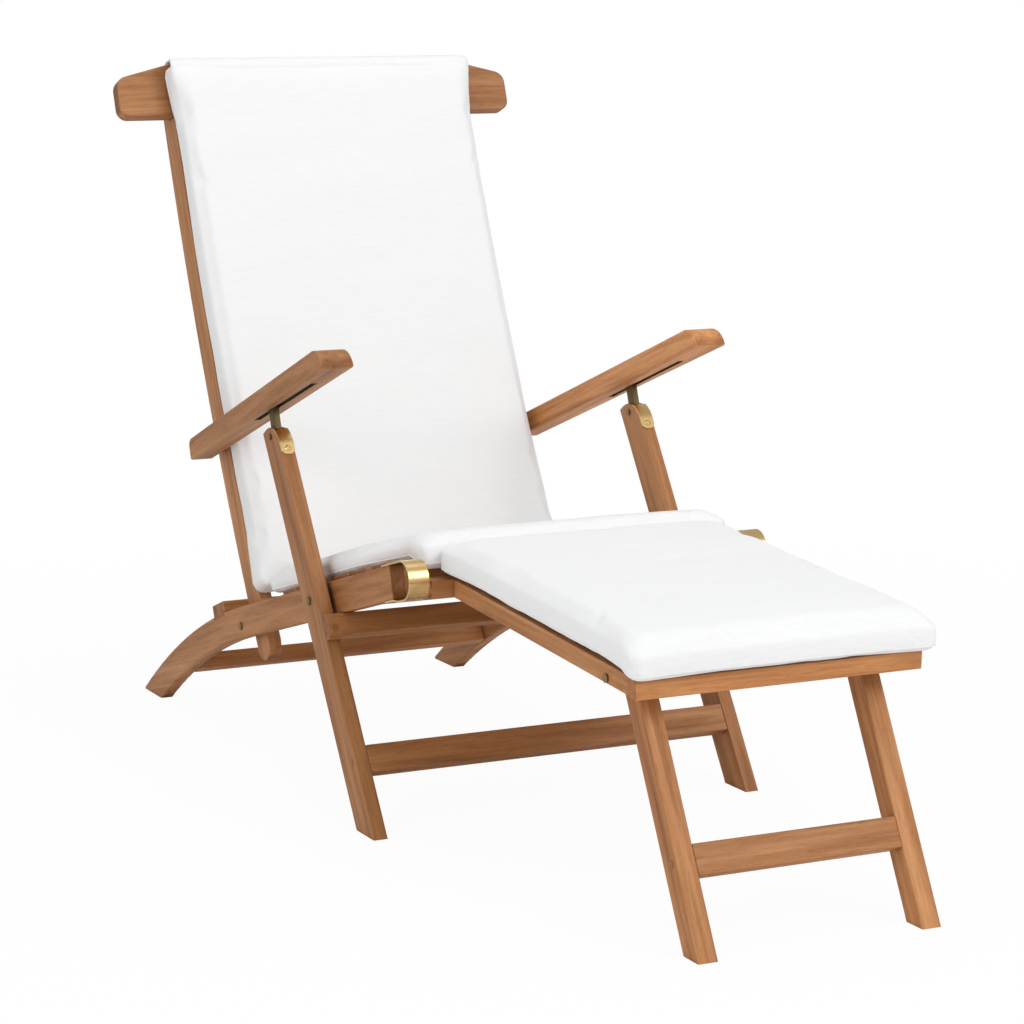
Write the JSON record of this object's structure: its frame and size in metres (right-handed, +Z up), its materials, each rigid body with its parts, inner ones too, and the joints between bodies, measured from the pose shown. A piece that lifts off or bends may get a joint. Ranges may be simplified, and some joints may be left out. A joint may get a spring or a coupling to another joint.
{
  "type": "steamer deck chair",
  "caption": "Folding steamer deck chair with slatted seat and back, sliding armrests, a hinged footrest on folding legs and a loose cushion in panels.",
  "frame": {"origin": "centre of the bounding box's bottom face, on the floor under the middle of the chair", "axes": "+X towards the sitter's left hand and the right edge of the front view, -Y the way the sitter faces, +Z up"},
  "size_m": [0.6, 1.52, 0.92],
  "materials": {
    "teak": "oiled teak",
    "brass": "polished brass",
    "cushion": "plain woven cover, white"
  },
  "bodies": {
    "seat_frame": {"left_seat_rail": "teak", "right_seat_rail": "teak", "front_cross_rail": "teak", "rear_cross_rail": "teak", "rear_stretcher": "teak", "seat_slat_1": "teak", "seat_slat_2": "teak", "seat_slat_3": "teak", "seat_slat_4": "teak", "seat_slat_5": "teak", "seat_slat_6": "teak", "left_footrest_loop": "brass", "right_footrest_loop": "brass", "loop_screws": "brass", "seat_cushion": "cushion"},
    "front_legs": {"left_front_leg": "teak", "right_front_leg": "teak", "left_leg_cap": "brass", "right_leg_cap": "brass", "leg_cap_screws": "brass", "apron_board": "teak", "front_stretcher": "teak", "leg_pivot_bolts": "brass"},
    "leg_pins": {"arm_hinge_pins": "brass"},
    "arm_tongues": {"left_arm_tongue": "brass", "right_arm_tongue": "brass"},
    "back_pivots": {"back_pivot_bolts": "brass", "back_pivot_washers": "brass"},
    "backrest": {"left_back_stile": "teak", "right_back_stile": "teak", "back_slat_1": "teak", "back_slat_2": "teak", "back_slat_3": "teak", "back_slat_4": "teak", "back_slat_5": "teak", "back_slat_6": "teak", "back_slat_7": "teak", "crest_board": "teak", "back_cushion": "cushion"},
    "arm_pivots": {"arm_pivot_bolts": "brass", "arm_pivot_spacers": "brass"},
    "armrests": {"left_armrest": "teak", "right_armrest": "teak", "left_arm_channel": "brass", "right_arm_channel": "brass"},
    "footrest": {"footrest_bar": "teak", "left_footrest_rail": "teak", "right_footrest_rail": "teak", "footrest_front_board": "teak", "footrest_slat_1": "teak", "footrest_slat_2": "teak", "footrest_slat_3": "teak", "footrest_slat_4": "teak", "footrest_slat_5": "teak", "footrest_slat_6": "teak", "footrest_cushion": "cushion"},
    "footrest_legs": {"left_footrest_leg": "teak", "right_footrest_leg": "teak", "footrest_stretcher": "teak", "footrest_leg_bolts": "brass"}
  },
  "joints": [
    {"name": "back_fold", "type": "hinge", "parent": "seat_frame", "child": "back_pivots", "pos_m": [0, 0.35, 0.1694], "axis": [1, 0, 0], "range_deg": [0, 72], "deforming": ["back_cushion", "seat_cushion"]},
    {"name": "back_recline", "type": "hinge", "parent": "back_pivots", "child": "backrest", "pos_m": [0, 0.35, 0.1694], "axis": [1, 0, 0], "range_deg": [-16, 0]},
    {"name": "leg_fold", "type": "hinge", "parent": "seat_frame", "child": "front_legs", "pos_m": [0, 0.03744, 0.26141], "axis": [1, 0, 0], "range_deg": [0, 81.2]},
    {"name": "leg_pin_turn", "type": "hinge", "parent": "front_legs", "child": "leg_pins", "pos_m": [0, 0.1631, 0.45345], "axis": [1, 0, 0], "range_deg": [-85.1, 0]},
    {"name": "tongue_turn", "type": "hinge", "parent": "leg_pins", "child": "arm_tongues", "pos_m": [0, 0.1631, 0.45345], "axis": [1, 0, 0], "range_deg": [-2.6, 0]},
    {"name": "arm_fold", "type": "hinge", "parent": "backrest", "child": "arm_pivots", "pos_m": [0, 0.464, 0.4011], "axis": [1, 0, 0], "range_deg": [-76, 0]},
    {"name": "arm_recline", "type": "hinge", "parent": "arm_pivots", "child": "armrests", "pos_m": [0, 0.464, 0.4011], "axis": [1, 0, 0], "range_deg": [0, 13.5]},
    {"name": "footrest_swing", "type": "hinge", "parent": "seat_frame", "child": "footrest", "pos_m": [0, -0.189, 0.311], "axis": [1, 0, 0], "range_deg": [-60, 0], "deforming": ["footrest_cushion"]},
    {"name": "footrest_legs_fold", "type": "hinge", "parent": "footrest", "child": "footrest_legs", "pos_m": [0, -0.59797, 0.28], "axis": [1, 0, 0], "range_deg": [0, 108]}
  ],
  "couplings": [
    {"joint": "leg_fold", "follows": "back_fold", "ratio": 1.1266},
    {"joint": "leg_pin_turn", "follows": "back_fold", "ratio": -1.1811},
    {"joint": "arm_fold", "follows": "back_fold", "ratio": -1.0545},
    {"joint": "arm_recline", "follows": "back_recline", "ratio": -0.84},
    {"joint": "tongue_turn", "follows": "back_recline", "ratio": 0.16}
  ]
}
